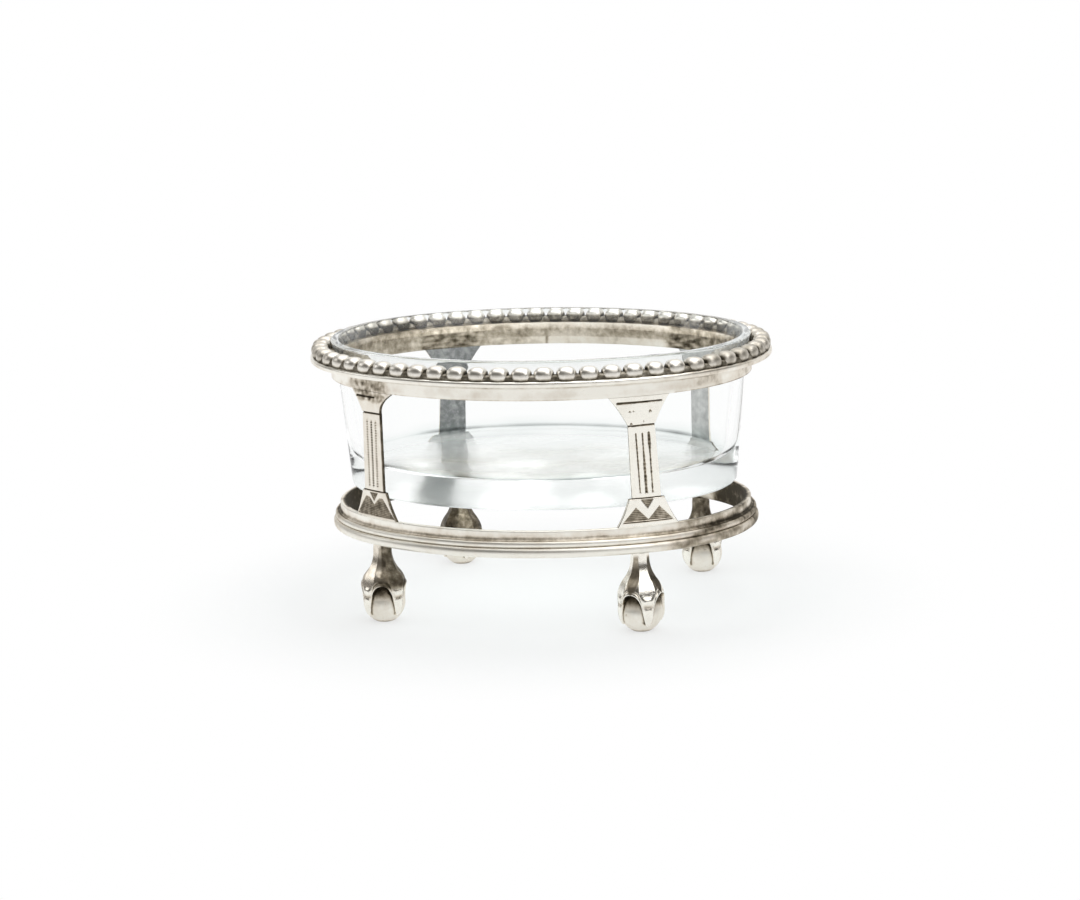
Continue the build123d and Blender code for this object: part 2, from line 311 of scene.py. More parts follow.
def silver(name, patch, polish, relief, stops=SILVER_STOPS):
    """Aged silver: the grime-and-shade attribute, which holds tarnish and painted shade, and mottling darken and dull
    it, over faint scratches and hammering.
    """
    material, n = new_material(name)
    coords = n.add("ShaderNodeTexCoord").outputs["Object"]
    grime_and_shade = n.add("ShaderNodeAttribute", {"attribute_name": "grime_and_shade"}).outputs["Fac"]
    patches = n.noise(coords, 210.0, 4.0, 0.6)
    specks = n.noise(coords, 900.0, 4.0, 0.6)
    grain = n.noise(coords, 3600.0, 2.0)
    stretched = n.add("ShaderNodeMapping", Vector=coords, Scale=(1.0, 1.0, 9.0)).outputs[0]
    scratches = n.noise(stretched, 520.0, 5.0, 0.7)
    mottle = n.math("MULTIPLY", n.math("SUBTRACT", patches, 0.5), patch * 1.7)
    speckle = n.math("MULTIPLY", n.math("SUBTRACT", specks, 0.5), 0.16 + patch * 0.5)
    spread = n.math("MULTIPLY", grime_and_shade, n.math("ADD", n.math("MULTIPLY", specks, 0.9), 0.6))
    dirt_and_shade = n.math("ADD", spread, n.math("ADD", mottle, speckle), True)
    dull = n.math("ADD", n.math("MULTIPLY", dirt_and_shade, 0.3), n.math("MULTIPLY", scratches, 0.12))
    height = n.math("ADD", n.math("MULTIPLY", grain, 0.35), n.math("ADD", specks, n.math("MULTIPLY", scratches, 0.5)))
    bump = n.add("ShaderNodeBump", Strength=relief * 4, Distance=0.00008, Height=height)
    shader = n.add("ShaderNodeBsdfPrincipled", Metallic=1.0)
    n.put(shader, "Base Color", n.ramp(dirt_and_shade, stops))
    n.put(shader, "Roughness", n.math("ADD", dull, polish))
    n.put(shader, "Normal", bump.outputs[0])
    n.put(n.add("ShaderNodeOutputMaterial"), "Surface", shader.outputs[0])
    return material


# Colours of the glass, from its painted shade lines through the thick base to the clear wall
GLASS_STOPS = [
    (0.0, (0.05, 0.055, 0.055)),
    (0.45, (0.72, 0.76, 0.755)),
    (0.62, (0.88, 0.913, 0.902)),
    (1.0, (0.99, 0.995, 0.993)),
]


def glass():
    """Clear old glass, faintly grey-green, with slight waves and wear; lamps shine through it.

    Its refractive index is low below the lip, so that the pieces behind it stay readable.
    """
    material, n = new_material("liner_glass")
    coords = n.add("ShaderNodeTexCoord").outputs["Object"]
    across, _, up = n.add("ShaderNodeSeparateXYZ", Vector=coords).outputs
    waves = n.noise(coords, 70.0, 2.0, 0.4)
    wear = n.noise(coords, 700.0, 4.0, 0.7)
    shade_line = n.add("ShaderNodeAttribute", {"attribute_name": "grime_and_shade"}).outputs["Fac"]

    def by_height(low, high, start, end):
        return n.ranged(up, low * MM, high * MM, start, end)

    # Tint: greyer in the base, with drifting streaks and dark lines of painted shade at its edges
    drift = n.math("MULTIPLY", n.math("SUBTRACT", waves, 0.5), by_height(25.5, 28.5, 0.8, 0.1))
    depth = n.math("ADD", by_height(24.5, 28.5, 0.72, 1.05), drift)
    tint = n.math("SUBTRACT", depth, n.math("MULTIPLY", shade_line, 0.8), True)
    index = n.math("ADD", by_height(22.5, 27.0, 1.11, 1.075), by_height(43.5, 45.0, 0.0, 0.3))

    # Patches of gloss on the inner floor, and a frosted underside
    level = n.math("MULTIPLY", by_height(24.9, 25.4, 0.0, 1.0), by_height(25.9, 26.4, 1.0, 0.0))
    gloss = n.math("MULTIPLY", n.math("SUBTRACT", n.noise(coords, 85.0, 2.0, 0.5), 0.5), 7.0, True)
    frost = n.math("ADD", n.math("MULTIPLY", wear, 0.03), by_height(21.1, 21.4, 0.23, 0.0))
    shader = n.add("ShaderNodeBsdfPrincipled", IOR=index, Roughness=frost, Transmission_Weight=1.0)
    n.put(shader, "Base Color", n.ramp(tint, GLASS_STOPS))
    n.put(shader, "Coat Weight", n.math("MULTIPLY", n.math("MULTIPLY", level, gloss), 0.62))
    n.put(shader, "Coat Roughness", 0.0)

    # Worn lip, palest at the right end
    worn = n.add("ShaderNodeBsdfDiffuse", Color=(0.86, 0.89, 0.89, 1.0))
    right = n.ranged(across, 27.0 * MM, 36.0 * MM, 0.05, 0.4)
    left = n.ranged(across, -36.0 * MM, -31.0 * MM, 0.06, 0.0)
    lip = n.math("MULTIPLY", by_height(44.0, 46.5, 0.0, 1.0), n.math("ADD", right, left))
    rim = n.mix(n.math("MULTIPLY", lip, n.math("ADD", wear, 0.2)), shader, worn)

    clear = n.add("ShaderNodeBsdfTransparent", Color=(0.965, 0.98, 0.976, 1.0))
    mixed = n.mix(n.add("ShaderNodeLightPath").outputs["Is Shadow Ray"], rim, clear)
    n.put(n.add("ShaderNodeOutputMaterial"), "Surface", mixed.outputs[0])
    return material


silver_plain = silver("silver_bands", patch=0.24, polish=0.23, relief=0.05)
silver_bead = silver("silver_beads", patch=0.2, polish=0.25, relief=0.04, stops=BEAD_STOPS)
silver_satin = silver("silver_satin", patch=0.2, polish=0.36, relief=0.05)
silver_cast = silver("silver_cast", patch=0.2, polish=0.13, relief=0.06)
silver_cut = silver("silver_engraved", patch=0.14, polish=0.2, relief=0.05)
silver_dull = silver("silver_dull", patch=0.12, polish=0.3, relief=0.04, stops=DULL_STOPS)
liner_glass = glass()


def hand(amount, seed, rate):
    """Slight wander of a hand-made ring, in half-length and height."""

    def wander(angle, a, z):
        c, s = math.cos(angle) * rate, math.sin(angle) * rate
        return amount * wave(c, s, seed), amount * wave(c, s, seed + 7.3)

    return wander


def stained(verts, grime_and_shade, amount, rate, seed):
    """Adds drifting tarnish, longer along the ring than across it."""
    for index, (x, y, z) in enumerate(verts):
        drift = wave(x * rate, y * rate, z * rate * 2 + seed)
        drift += 0.5 * wave(x * rate * 3, y * rate * 3, z * rate * 5 + seed)
        grime_and_shade[index] = min(1.0, max(0.0, grime_and_shade[index] + amount * drift))


def painted_end_shade(verts, grime_and_shade, amount):
    """Darkens a ring towards its ends, the right one more: painted shade for the dark room that the ends reflect."""
    for index, (x, y, z) in enumerate(verts):
        end = amount * (0.46 * smooth(24.0, 33.0, x) + 0.24 * smooth(29.0, 36.0, -x))
        grime_and_shade[index] = min(1.0, grime_and_shade[index] + end * (0.8 + 0.8 * wave(x * 0.25, y * 0.25, z * 0.8)))


def stain(x, z):
    """Brown stain over the front left capital and the band above it."""
    reach = math.hypot((x + 24.0) * 0.6, z - 41.3) + 1.6 * wave(x * 0.55, z * 0.7, 8.0)
    return smooth(4.1, 1.4, reach) * (0.5 + 0.4 * wave(x * 1.4, z * 1.4, 2.0))


def rear_patches(x, z):
    """Dull patches and the seam inside the rear of the upper band."""
    patch = smooth(-30.0, -27.5, x) * smooth(-17.0, -20.0, x) + smooth(15.0, 18.0, x) * smooth(29.0, 26.5, x)
    dull = 0.64 * patch + 0.4 * patch * wave(x * 0.5, z * 1.6, 3.0) + 0.35 * smooth(-29.0, -31.0, x)
    left = (0.44 + 0.2 * wave(x * 0.4, z * 1.3, 6.0)) * smooth(-9.0, -13.0, x)
    seam = 0.6 * smooth(0.35, 0.15, abs(x + 7.0))
    return max(dull, left, seam)


def upper_band():
    """Plain band, bright on its face, darkened in painted shade under the flange, and clean where the front capitals
    meet it.
    """
    # Section points with their grime-and-shade values; the rise towards 0.9 up under the flange is painted shade.
    corners = [
        (WALL_TOP, HEAD_Z, 0.3), (WALL_TOP, HEAD_Z + 0.25, 0.02), (WALL_TOP, HEAD_Z + 0.7, 0.08),
        (WALL_TOP, HEAD_Z + 1.9, 0.0), (WALL_TOP, HEAD_Z + 2.3, 0.45), (WALL_TOP, FLANGE_Z, 0.9),
        (SEAT, FLANGE_Z, 0.5), (SEAT, HEAD_Z + 1.5, 0.45), (SEAT, HEAD_Z + 1.2, 0.25), (SEAT, HEAD_Z, 0.2),
    ]
    section = divided(rounded(corners, (0.12, 0, 0, 0, 0, 0, 0, 0, 0, 0.12), 3), 0.3)
    verts, faces, grime_and_shade = sweep(section, 480)
    stained(verts, grime_and_shade, 0.2, 0.16, 1.0)
    painted_end_shade(verts, grime_and_shade, 0.4)
    for index, (x, y, z) in enumerate(verts):
        if y > 0 and z < FLANGE_Z - 0.05 and ring_at(x, y) < SEAT + 1.2:
            grime_and_shade[index] = min(1.0, max(grime_and_shade[index], rear_patches(x, z)))
        if y < 0 and ring_at(x, y) > WALL_TOP - 1.2:
            if abs(abs(x) - 23.7) < 5.3 and z < HEAD_Z + 0.5:
                grime_and_shade[index] = min(grime_and_shade[index], 0.05)
            grime_and_shade[index] = max(grime_and_shade[index], stain(x, z))
    add_piece("upper_band_dressed", verts, faces, grime_and_shade, silver_plain, "frame", ["upper_band"])


def rim_flange():
    """Flange with a rounded edge, bright outside, darkened in painted shade underneath and round the beads, and with
    dull patches inside the rear.
    """
    seat_top = SEAT + (BEAD_Z - FLANGE_Z) * SEAT_SLOPE
    # Section points with their grime-and-shade values; the dark values underneath and at the foot of the beads are
    # painted shade.
    corners = [
        (SEAT, FLANGE_Z, 0.5), (WALL_TOP + 0.4, FLANGE_Z, 0.8), (RIM - 0.9, FLANGE_Z, 0.5),
        (RIM, FLANGE_Z, 0.06), (RIM, BEAD_Z, 0.0), (RIM - 0.5, BEAD_Z, 0.5), (BEAD_LINE, BEAD_Z, 0.85),
        (BEAD_LINE - 1.2, BEAD_Z, 0.45), (seat_top, BEAD_Z, 0.2),
    ]
    section = divided(rounded(corners, (0, 0, 0, 0.42, 0.42, 0, 0, 0, 0.1), 6), 0.35)
    verts, faces, grime_and_shade = sweep(section, 420)
    painted_end_shade(verts, grime_and_shade, 0.6)
    for index, (x, y, z) in enumerate(verts):
        if y > 0 and ring_at(x, y) < SEAT + 1.0:
            dull = smooth(-10.0, -14.0, x) + smooth(15.0, 18.0, x) * smooth(30.0, 27.0, x)
            grime_and_shade[index] = max(grime_and_shade[index], (0.5 + 0.2 * wave(x * 0.5, z, 3.0)) * dull)
    add_piece("rim_flange_dressed", verts, faces, grime_and_shade, silver_plain, "frame", ["rim_flange"])


# Strip that carries the beads, and the half-sizes of one bead
STRIP_HALF = 1.2
STRIP_TALL = 0.95
BEAD_COUNT = 60
BEAD_RADIAL = 1.58
BEAD_WIDE = 1.69
BEAD_TALL = 1.36
BEAD_TOP = 2.2
BEAD_ROWS, BEAD_COLUMNS = 18, 28


def squared(value, power):
    """Power of a number that keeps its sign; below 1 it squares a round outline."""
    return math.copysign(abs(value) ** power, value)


def bead(index, angle):
    """Points and grime-and-shade values of one pillow-shaped bead, of slightly uneven size; painted shade darkens its
    underside, its flanks, the lower inner face and the beads towards the ends.
    """
    seed = index * 1.7
    out = Vector((math.cos(angle), math.sin(angle), 0))
    along = Vector((-math.sin(angle), math.cos(angle), 0))
    radial = BEAD_RADIAL + 0.05 * wave(seed, 0.3, 4.1)
    wide = BEAD_WIDE + 0.10 * wave(seed, 5.2, 1.1)
    tall = BEAD_TALL + 0.05 * wave(seed, 2.2, 8.1)
    turn = 0.12 * wave(seed, 9.9, 3.3)
    x, y = oval_point(BEAD_LINE, angle)
    centre = Vector((x, y, BEAD_Z + BEAD_TOP - BEAD_TALL)) + along * (0.12 * wave(seed, 6.1, 0.2))
    # Painted shade: the beads towards the ends are darker, for the dark room they reflect.
    end = (0.27 if x > 0 else 0.24) * smooth(0.5, 0.95, abs(math.cos(angle)))
    verts, grime_and_shade = [], []
    for row in range(BEAD_ROWS + 1):
        polar = math.pi * row / BEAD_ROWS
        width = math.sin(polar) ** 0.7
        c = squared(math.cos(polar), 0.92)
        for column in range(1 if row in (0, BEAD_ROWS) else BEAD_COLUMNS):
            around = TAU * column / BEAD_COLUMNS
            a = squared(math.cos(around), 0.76) * width
            b = squared(math.sin(around), 0.76) * width
            a, b = a - b * turn, b + a * turn
            verts.append(tuple(centre + out * (a * radial) + along * (b * wide) + Vector((0, 0, c * tall))))
            # Painted shade: darker on the underside, on the flanks towards the neighbours, and low on the inner face.
            low = smooth(-0.15, -0.6, c)
            flank = smooth(0.82, 1.0, abs(b)) * smooth(0.9, 0.3, c)
            inward_shade = smooth(0.1, -0.6, a) * (0.66 * smooth(0.62, 0.2, c) - 0.1)
            grime_and_shade.append(min(1.0, 0.15 + end + inward_shade + 0.6 * low + 0.75 * flank))
    return verts, grime_and_shade


def bead_faces(first):
    """Faces of a bead whose points start at an index: a fan at both poles and quads between."""
    faces = []
    top = first + 1
    bottom = top + (BEAD_ROWS - 2) * BEAD_COLUMNS
    for column in range(BEAD_COLUMNS):
        on = (column + 1) % BEAD_COLUMNS
        faces.append((first, top + column, top + on))
        for start in range(top, bottom, BEAD_COLUMNS):
            below = start + BEAD_COLUMNS
            faces.append((start + column, below + column, below + on, start + on))
        faces.append((bottom + column, bottom + BEAD_COLUMNS, bottom + on))
    return faces


def bead_border():
    """Beads on a thin strip, dark with painted shade between the beads."""
    outside, inside, top = BEAD_LINE + STRIP_HALF, BEAD_LINE - STRIP_HALF, BEAD_Z + STRIP_TALL
    # The strip's dark values are painted shade between the beads.
    strip = [(outside, BEAD_Z, 0.76), (outside, top, 0.7), (inside, top, 0.62), (inside, BEAD_Z, 0.75)]
    verts, faces, grime_and_shade = sweep(divided(rounded(strip, (0, 0.5, 0.5, 0), 5), 0.5), 420)
    for index, angle in enumerate(stations(BEAD_COUNT, BEAD_LINE, 0.5)):
        faces += bead_faces(len(verts))
        bead_verts, bead_grime = bead(index, angle)
        verts += bead_verts
        grime_and_shade += bead_grime
    add_piece("bead_border_dressed", verts, faces, grime_and_shade, silver_bead, "frame", ["bead_border"], 80)


def lower_band():
    """Plain band, dark inside its ends in painted shade, with a brown solder line above the moulding."""
    inner = WALL_FOOT - WALL
    corners = [
        (WALL_FOOT, FOOT_Z, 0.5), (WALL_FOOT, FOOT_Z + 2.7, 0.5), (WALL_FOOT, FOOT_Z + 3.2, 0.42),
        (WALL_FOOT, FOOT_Z + 3.6, 0.14), (WALL_FOOT, SILL_Z, 0.06), (inner, SILL_Z, 0.2),
        (inner, SILL_Z - 0.4, 0.25), (inner, FOOT_Z + 0.5, 0.3), (inner, FOOT_Z, 0.3),
    ]
    section = divided(rounded(corners, (0, 0, 0, 0, 0.14, 0.1, 0, 0, 0.1), 4), 0.3)
    verts, faces, grime_and_shade = sweep(section, 480)
    stained(verts, grime_and_shade, 0.2, 0.2, 4.0)
    painted_end_shade(verts, grime_and_shade, 1.0)
    for index, (x, y, z) in enumerate(verts):
        # Painted shade inside both ends of the band.
        shaded_inside = smooth(WALL_FOOT - 0.2, inner + 0.1, math.hypot(abs(x) - END_X, y) + END_X)
        grime_and_shade[index] = max(grime_and_shade[index], shaded_inside * max(smooth(30.5, 32.5, -x), smooth(24.5, 27.5, x)))
    add_piece("lower_band_dressed", verts, faces, grime_and_shade, silver_plain, "frame", ["lower_band"])


# Reeds of the moulding (out from the wall, up from the foot, radius), and the solder above them (out, up, grime)
REEDS = [(0.45, 0.85, 0.85), (0.4, 2.25, 0.55)]
SOLDER = [(0.24, 2.86, 0.3), (0.1, 3.0, 0.42), (0.02, 3.2, 0.4)]


def base_moulding():
    """A wide and a narrow reed with a dark groove between, slightly uneven round the frame."""
    section = [(WALL_FOOT + 0.02, FOOT_Z, 0.4)]
    steps = 16
    for out, up, radius in REEDS:
        for step in range(steps + 1):
            angle = math.pi * (step / steps - 0.5)
            crest = max(math.cos(angle), 0.0) ** 0.6
            height = FOOT_Z + up + math.sin(angle) * radius
            section.append((WALL_FOOT + out + crest * radius, height, 0.55 * (1 - crest) ** 2))
    section += [(WALL_FOOT + out, FOOT_Z + up, dirt_and_shade) for out, up, dirt_and_shade in SOLDER]
    verts, faces, grime_and_shade = sweep(section, 420, hand(0.06, 3.1, 3.0))
    stained(verts, grime_and_shade, 0.14, 0.2, 6.0)
    painted_end_shade(verts, grime_and_shade, 1.25)
    add_piece("base_moulding_dressed", verts, faces, grime_and_shade, silver_satin, "frame", ["base_moulding"])


# Pilasters: place on the oval, lean, levels and half-widths
PILASTER_TURN = 33.2
PILASTER_LEAN = 2.8
SHAFT_TOP = HEAD_Z - 5.0
SHORTER = 1.2
BASE_TOP = SILL_Z + 4.85
CAPITAL_HALF = 5.4
SHAFT_HALF = 2.375
SHAFT_FOOT_HALF = 2.6
BASE_TOP_HALF = 3.2
BASE_HALF = 5.6

# Sideways shift of the front pilasters at their foot and head, and painted shade inside the rear ones
SET_OFF = {"front_right": (0.35, 0.15), "front_left": (-0.35, -0.15)}
INSIDE_SHADE = {"rear_left": 0.43, "rear_right": 0.22}

# The pilaster with the shorter capital, and points across the outer and inner face as shares of the half-width
PLAIN_CORNER = "front_left"
EDGE_DEPTH = 0.55
PILASTER_COLUMNS = 72
OUTSIDE = [-1.0 + 2.0 * k / PILASTER_COLUMNS for k in range(PILASTER_COLUMNS + 1)]
INSIDE = (1.0, 0.5, 0.0, -0.5, -1.0)

# Engraving: the three flutes, and pits in the capital (place across, height, radius)
FLUTES = (-1.15, 0.0, 1.15)
FLUTE_WIDTHS = (0.24, 0.26, 0.24)
DOTTED_WIDTH = 0.44
DOTTED_DEPTHS = (0.6, 1.0, 0.6)
PITS = [(-1.9, 38.0, 0.2), (-1.3, 38.05, 0.14), (1.7, 37.9, 0.3), (-1.8, 35.9, 0.24), (0.4, 36.2, 0.12)]


def stroke(x, z, start, end, width):
    """Share of an engraved line at a point: 1 in its middle, 0 outside."""
    along = (end[0] - start[0], end[1] - start[1])
    length = math.hypot(*along)
    t = ((x - start[0]) * along[0] + (z - start[1]) * along[1]) / length**2
    t = min(max(t, 0.0), 1.0)
    gap = math.hypot(x - start[0] - along[0] * t, z - start[1] - along[1] * t)
    return smooth(width / 2 + 0.05, width / 2 - 0.06, gap)


def triangle(x, z, middle, level, width, height):
    """Share of a triangle on a level side; it hangs where the height is negative."""
    rise = (z - level) / height
    side = width / 2 * (1 - rise) - abs(x - middle)
    return smooth(-0.03, 0.07, min(side, rise * abs(height), (1 - rise) * abs(height)))


def shaft_top(plain):
    return SHAFT_TOP + (SHORTER if plain else 0.0)


def flutes(x, z, plain):
    """Share of the flutes: dotted on the plain pilaster, of wavering width on the others."""
    wriggle = 0.5 + 0.5 * math.sin(z * (14.0 if plain else 9.0))
    cut = 0.0
    for index, lane in enumerate(FLUTES):
        if plain:
            width, deep = DOTTED_WIDTH, DOTTED_DEPTHS[index] * wriggle
        else:
            swell = (0.0, 0.18 * smooth(31.5, 28.0, z), 0.24 * smooth(31.0, 32.5, z))[index]
            width = FLUTE_WIDTHS[index] + swell + 0.1 * wave(z * 1.3, lane * 3, 1.0)
            deep = lerp(0.75, 1.0, wriggle)
        cut = max(cut, deep * stroke(x, z, (lane, shaft_top(plain) - 1.4), (lane * 0.97, BASE_TOP + 1.0), width))
    return cut


def darts(x, z, plain):
    """Share of the hatched darts in the base; the plain pilaster has one wide dart below its zigzag."""
    if plain:
        zigzag = BASE_TOP - 2.1 + abs(x) * 0.95
        wide = triangle(x, z, 0.0, SILL_Z + 0.3, 10.4, 6.2) * smooth(BASE_TOP - 1.0, BASE_TOP - 1.3, z)
        return max(triangle(x, z, 0.0, BASE_TOP - 0.3, 2.2, -1.5), wide * smooth(0.22, 0.42, zigzag - z))
    hanging = triangle(x, z, 0.0, BASE_TOP - 0.2, 2.3, -1.6)
    return max(hanging, *(triangle(x, z, side, SILL_Z + 0.9, 4.7, 2.45) for side in (-2.1, 2.1)))


def engraved(x, z, plain):
    """Depth and grime of the engraving, as shares."""
    head = shaft_top(plain)
    cut = max(
        stroke(x, z, (-3.9, HEAD_Z - 1.0), (1.0 if plain else 3.9, HEAD_Z - 0.95), 0.3 - 0.02 * x),
        stroke(x, z, (-2.4, head), (2.4, head + 0.05), 0.26),
        flutes(x, z, plain),
        stroke(x, z, (-3.2, BASE_TOP), (3.2, BASE_TOP), 0.2),
    )
    if not plain:
        cut = max(cut, stroke(x, z, (-4.4, SILL_Z + 0.75), (4.4, SILL_Z + 0.75), 0.18))
        for across, level, radius in PITS:
            cut = max(cut, 0.8 * smooth(radius, radius * 0.4, math.hypot(x - across, z - level)))
    cover = darts(x, z, plain)
    hatch = 0.62 + 0.38 * math.sin(z * 20.0 + x * 0.7)
    return max(cut, cover * 0.55), max(cut * 0.9, cover * lerp(0.4, 0.62 if plain else 0.85, hatch))


def outer_face(x, z, edge, plain):
    """Depth and grime-and-shade value of a pilaster's outer face; its edges are worn round."""
    depth, dirt_and_shade = engraved(x, z, plain)
    depth = 0.19 * depth + 0.12 * (1 - smooth(0.0, 0.13, edge)) ** 2
    dirt_and_shade = min(1.0, (0.16 if plain else 0.0) + 0.95 * dirt_and_shade)
    # Painted shade along the right-hand edge of the plain pilaster.
    if plain and x > 0:
        dirt_and_shade = max(dirt_and_shade, 0.8 * smooth(0.14, 0.04, edge))
    return depth, dirt_and_shade


def half_width(z, right, plain):
    """Half-width of a pilaster at a height; the sides of the capital and base are slightly hollow."""
    head = shaft_top(plain)
    if z >= head:
        t = (z - head) / (HEAD_Z - head)
        bow = 0.95 if plain and not right else 0.2
        return lerp(SHAFT_HALF, CAPITAL_HALF, t) - bow * 4 * t * (1 - t)
    if z > BASE_TOP:
        return lerp(SHAFT_FOOT_HALF, SHAFT_HALF, (z - BASE_TOP) / (head - BASE_TOP))
    t = (z - SILL_Z) / (BASE_TOP - SILL_Z)
    return lerp(BASE_HALF, BASE_TOP_HALF, t) - 0.2 * 4 * t * (1 - t)


def pilaster_outline(corner, z):
    """Outline at a height, as places across with depth and a grime-and-shade value: along the outer face and back
    inside.
    """
    sx, sy = CORNERS[corner]
    plain = corner == PLAIN_CORNER
    left, right = half_width(z, False, plain), half_width(z, True, plain)
    # Painted shade: the inner face darkens above the foot; the side edges are dark at the front and match the inner
    # face at the rear.
    inner_shade = INSIDE_SHADE.get(corner, 0.3) * lerp(0.3, 1.0, smooth(19.5, 25.0, z))
    edge_shade = 0.85 if sy > 0 else inner_shade
    outline = []
    for share in OUTSIDE:
        half = right if share > 0 else left
        x = share * half
        outline.append((x, *outer_face(x * sx * sy, z, half - abs(x), plain)))
    for share in INSIDE:
        x = share * (right if share > 0 else left)
        outline.append((x, EDGE_DEPTH, edge_shade) if abs(share) == 1 else (x, WALL, inner_shade))
    return outline


def pilaster(corner):
    """Engraved strip cut from the wall between the two bands, with a dull inner face darkened in painted shade."""
    sx, sy = CORNERS[corner]
    normal = math.radians(PILASTER_TURN - 90)
    foot = Vector(oval_point(WALL_FOOT, normal))
    tangent = Vector((-math.sin(normal), math.cos(normal)))
    fan = [normal + math.radians(30) * (k / 60 - 1) for k in range(121)]
    step = 0.075
    levels = {SILL_Z + step * k for k in range(int((HEAD_Z - SILL_Z) / step) + 1)}
    levels = sorted(levels | {BASE_TOP - 0.004, BASE_TOP + 0.004, HEAD_Z})
    size = len(OUTSIDE) + len(INSIDE)
    verts, grime_and_shade = [], []
    for z in levels:
        rise = (z - SILL_Z) / (HEAD_Z - SILL_Z)
        outer = lerp(WALL_FOOT, WALL_TOP, rise)
        laterals = [(Vector(oval_point(outer, angle)) - foot).dot(tangent) for angle in fan]
        shift = (0.5 - rise) * (HEAD_Z - SILL_Z) * math.tan(math.radians(PILASTER_LEAN))
        shift += lerp(*SET_OFF.get(corner, (0, 0)), rise)
        for x, depth, dirt_and_shade in pilaster_outline(corner, z):
            px, py = oval_point(outer - depth, float(np.interp(x + shift, laterals, fan)))
            verts.append((px * sx, py * sy, z))
            grime_and_shade.append(dirt_and_shade)
    if corner == PLAIN_CORNER:
        for index, (x, _, z) in enumerate(verts):
            if index % size < len(OUTSIDE):
                grime_and_shade[index] = max(grime_and_shade[index], stain(x, z))
    name = "pilaster_" + corner
    faces = ring_faces(len(levels), size)
    piece = add_piece(name + "_dressed", verts, faces, grime_and_shade, silver_cut, "frame", [name], 50)
    piece.data.materials.append(silver_dull)
    for face in piece.data.polygons[: (len(levels) - 1) * size]:
        face.material_index = 1 if PILASTER_COLUMNS < face.index % size < size - 1 else 0


# Feet: place on the oval, ball with a worn flat, claw, and the claw's facets as a share of its ridges' radius
FOOT_TURN = 32.3
FOOT_LINE = 36.1
BALL_R = 3.65
BALL_FLAT_R = 1.5
BALL_Z = math.sqrt(BALL_R**2 - BALL_FLAT_R**2)
TALON_R = 3.95
NECK_R = 1.55
NECK_Z = 12.6
SHOULDER_Z = 5.4
CEILING_Z = 6.95
FACET = 0.955

# Height of the arch between two talons, by the angle from its middle
ARCH = [
    (0, 6.78), (5, 6.76), (10, 6.66), (15, 6.45), (19.5, 6.1), (23.5, 5.65), (27, 5.0), (29.5, 4.25), (32, 3.3),
    (35, 2.35), (38, 1.62), (41.5, 1.36), (45, 1.29),
]

# Distance of the flanks between the ridges, as a share of the ridges' own, by height
FLANK = [
    (6.2, 1.45), (7.0, 1.34), (7.5, 1.2), (8.0, 1.1), (8.6, 1.04), (9.2, 1.0), (10.0, 1.0), (11.0, 1.02),
    (12.8, 1.08),
]


def foot_place(corner):
    """Middle of a foot and the direction of its outer talon."""
    sx, sy = CORNERS[corner]
    turn = math.radians(FOOT_TURN)
    x, y = oval_point(FOOT_LINE, turn - math.pi / 2)
    return x * sx, y * sy, math.atan2(-math.cos(turn) * sy, math.sin(turn) * sx)


def from_talon(turn):
    """Angle in degrees to the nearest of the four talons, for an angle from the outer one."""
    return abs((math.degrees(turn) + 45) % 90 - 45)


def ball(corner):
    """Ball with a worn flat, slightly out of round and pitted, fuller under the claw's arches, and grey there in
    painted shade.
    """
    cx, cy, heading = foot_place(corner)
    seed = cx * 0.13 + cy * 0.29
    levels, openings = zip(*((level, half) for half, level in reversed(ARCH)))
    verts, grime_and_shade = [], []
    rows, columns = 60, 120
    flat = math.acos(-BALL_Z / BALL_R)
    for row in range(1, rows + 1):
        polar = flat * row / rows
        for column in range(columns):
            around = TAU * column / columns
            d = Vector((math.sin(polar) * math.cos(around), math.sin(polar) * math.sin(around), math.cos(polar)))
            sink = max(0.0, wave(*(d * 1.3 + Vector((seed, 0, 0))))) * 0.05
            pit = max(0.0, wave(*(d * 7.0 + Vector((0, seed, 3.0)))) - 0.55) * 0.25
            fade = smooth(0.0, 0.25, flat - polar)
            full = 0.3 * smooth(0.2, 0.62, d.z) - 0.65 * smooth(0.72, 0.95, d.z)
            r = BALL_R - (sink + pit) * fade + full
            z = max(0.0, BALL_Z + d.z * r)
            verts.append((cx + d.x * r, cy + d.y * r, z))
            beside = from_talon(around - heading) - 45 + float(np.interp(z, levels, openings))
            gap = math.radians(beside) * r * math.sin(polar)
            # Painted shadow along the talons' edges.
            seam = hump(gap, 0.0, 0.25) * smooth(1.25, 1.7, z)
            # Painted shade on the top of the ball, under the claw.
            shade_under_claw = 0.62 * smooth(0.12, 0.64, d.z)
            # Darker near the worn flat in a painted contact shadow; the pits are darkened by tarnish.
            grime_and_shade.append(min(1.0, 0.12 + 0.6 * seam + pit * 5 + shade_under_claw + 0.5 * smooth(0.35, 0.0, flat - polar)))
    name = "ball_" + corner
    faces = ring_faces(rows, columns)
    add_piece(name + "_dressed", verts, faces, grime_and_shade, silver_satin, "frame", [name], 60)


def bell(z):
    """Radius of the claw's ridges at a height."""
    grow, drop = TALON_R - NECK_R, NECK_Z - SHOULDER_Z
    radius = (grow**2 + drop**2) / (4 * grow)
    if z >= NECK_Z:
        return NECK_R
    if z <= SHOULDER_Z:
        return math.sqrt(TALON_R**2 - min(0.0, z - BALL_Z) ** 2)
    if z > (NECK_Z + SHOULDER_Z) / 2:
        return NECK_R + radius - math.sqrt(radius**2 - (NECK_Z - z) ** 2)
    return TALON_R - radius + math.sqrt(radius**2 - (z - SHOULDER_Z) ** 2)


